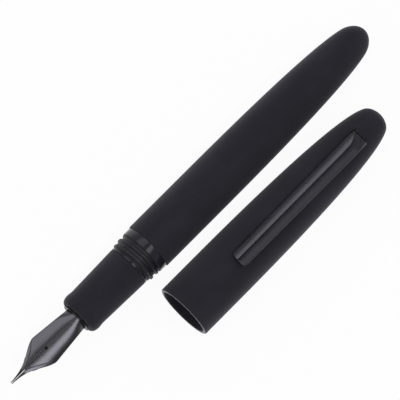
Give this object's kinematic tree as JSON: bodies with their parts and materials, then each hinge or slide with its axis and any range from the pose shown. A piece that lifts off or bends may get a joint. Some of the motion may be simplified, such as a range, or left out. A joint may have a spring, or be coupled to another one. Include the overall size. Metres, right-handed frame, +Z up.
{
  "type": "fountain pen",
  "caption": "Matte black fountain pen lying beside its screw cap, with a slit nib, a piston converter in the barrel, and a sprung clip and nib liner on the cap.",
  "frame": {"origin": "middle of the pen and its cap, on the surface that they lie on", "axes": "+X along the pen from nib to barrel end, +Y from the cap towards the pen, +Z up"},
  "size_m": [0.1312, 0.0333, 0.0182],
  "materials": {
    "matte_black": "matte lacquered resin",
    "gloss_black": "polished resin",
    "black_steel": "polished black coated steel",
    "bright_steel": "bright steel",
    "feed_black": "moulded plastic",
    "brass": "turned",
    "clear": "clear moulded plastic",
    "chromed": "polished",
    "rod_grey": "moulded plastic",
    "seal_black": "soft moulded rubber",
    "liner_grey": "moulded plastic",
    "alloy": "turned"
  },
  "bodies": {
    "barrel": {"barrel": "matte_black", "thread_collar": "gloss_black"},
    "section": {"grip_section": "matte_black", "section_bush": "brass"},
    "nib_unit": {"nib": "black_steel", "nib_tipping": "bright_steel", "feed": "feed_black", "nib_housing": "gloss_black"},
    "converter": {"converter_mouth": "gloss_black", "converter_tube": "clear", "converter_band": "chromed"},
    "knob": {"converter_knob": "gloss_black", "converter_spindle": "bright_steel"},
    "piston": {"piston_rod": "rod_grey", "piston_seal": "seal_black"},
    "cap": {"cap_shell": "matte_black", "liner_bush": "liner_grey", "liner_spring": "bright_steel", "clip_plug": "alloy", "clip_screw": "bright_steel"},
    "liner": {"cap_liner": "liner_grey"},
    "clip": {"clip": "black_steel"}
  },
  "joints": [
    {"name": "section_pull", "type": "slide", "parent": "barrel", "child": "section", "axis": [-1, 0, 0], "range_m": [0, 0.08]},
    {"name": "nib_pull", "type": "slide", "parent": "section", "child": "nib_unit", "axis": [-1, 0, 0], "range_m": [0, 0.02]},
    {"name": "converter_pull", "type": "slide", "parent": "section", "child": "converter", "axis": [1, 0, 0], "range_m": [0, 0.0095]},
    {"name": "knob_turn", "type": "hinge", "parent": "converter", "child": "knob", "pos_m": [0.0344, 0.00972, 0.00693], "axis": [1, 0, 0], "range_deg": [0, 1800]},
    {"name": "piston_travel", "type": "slide", "parent": "converter", "child": "piston", "axis": [-1, 0, 0], "range_m": [0, 0.024]},
    {"name": "cap_pull", "type": "slide", "parent": "barrel", "child": "cap", "axis": [1, 0, 0], "range_m": [0, 0.09]},
    {"name": "liner_press", "type": "slide", "parent": "cap", "child": "liner", "axis": [1, 0, 0], "range_m": [0, 0.0028], "stiffness_N_per_m": 300, "deforming": ["liner_spring"]},
    {"name": "clip_lift", "type": "hinge", "parent": "cap", "child": "clip", "pos_m": [0.0427, -0.00894, 0.01322], "axis": [0, 0.9981, 0.061], "range_deg": [0, 3], "stiffness_Nm_per_rad": 1.5}
  ],
  "couplings": [
    {"joint": "knob_turn", "follows": "piston_travel", "rad_per_m": 1309}
  ]
}
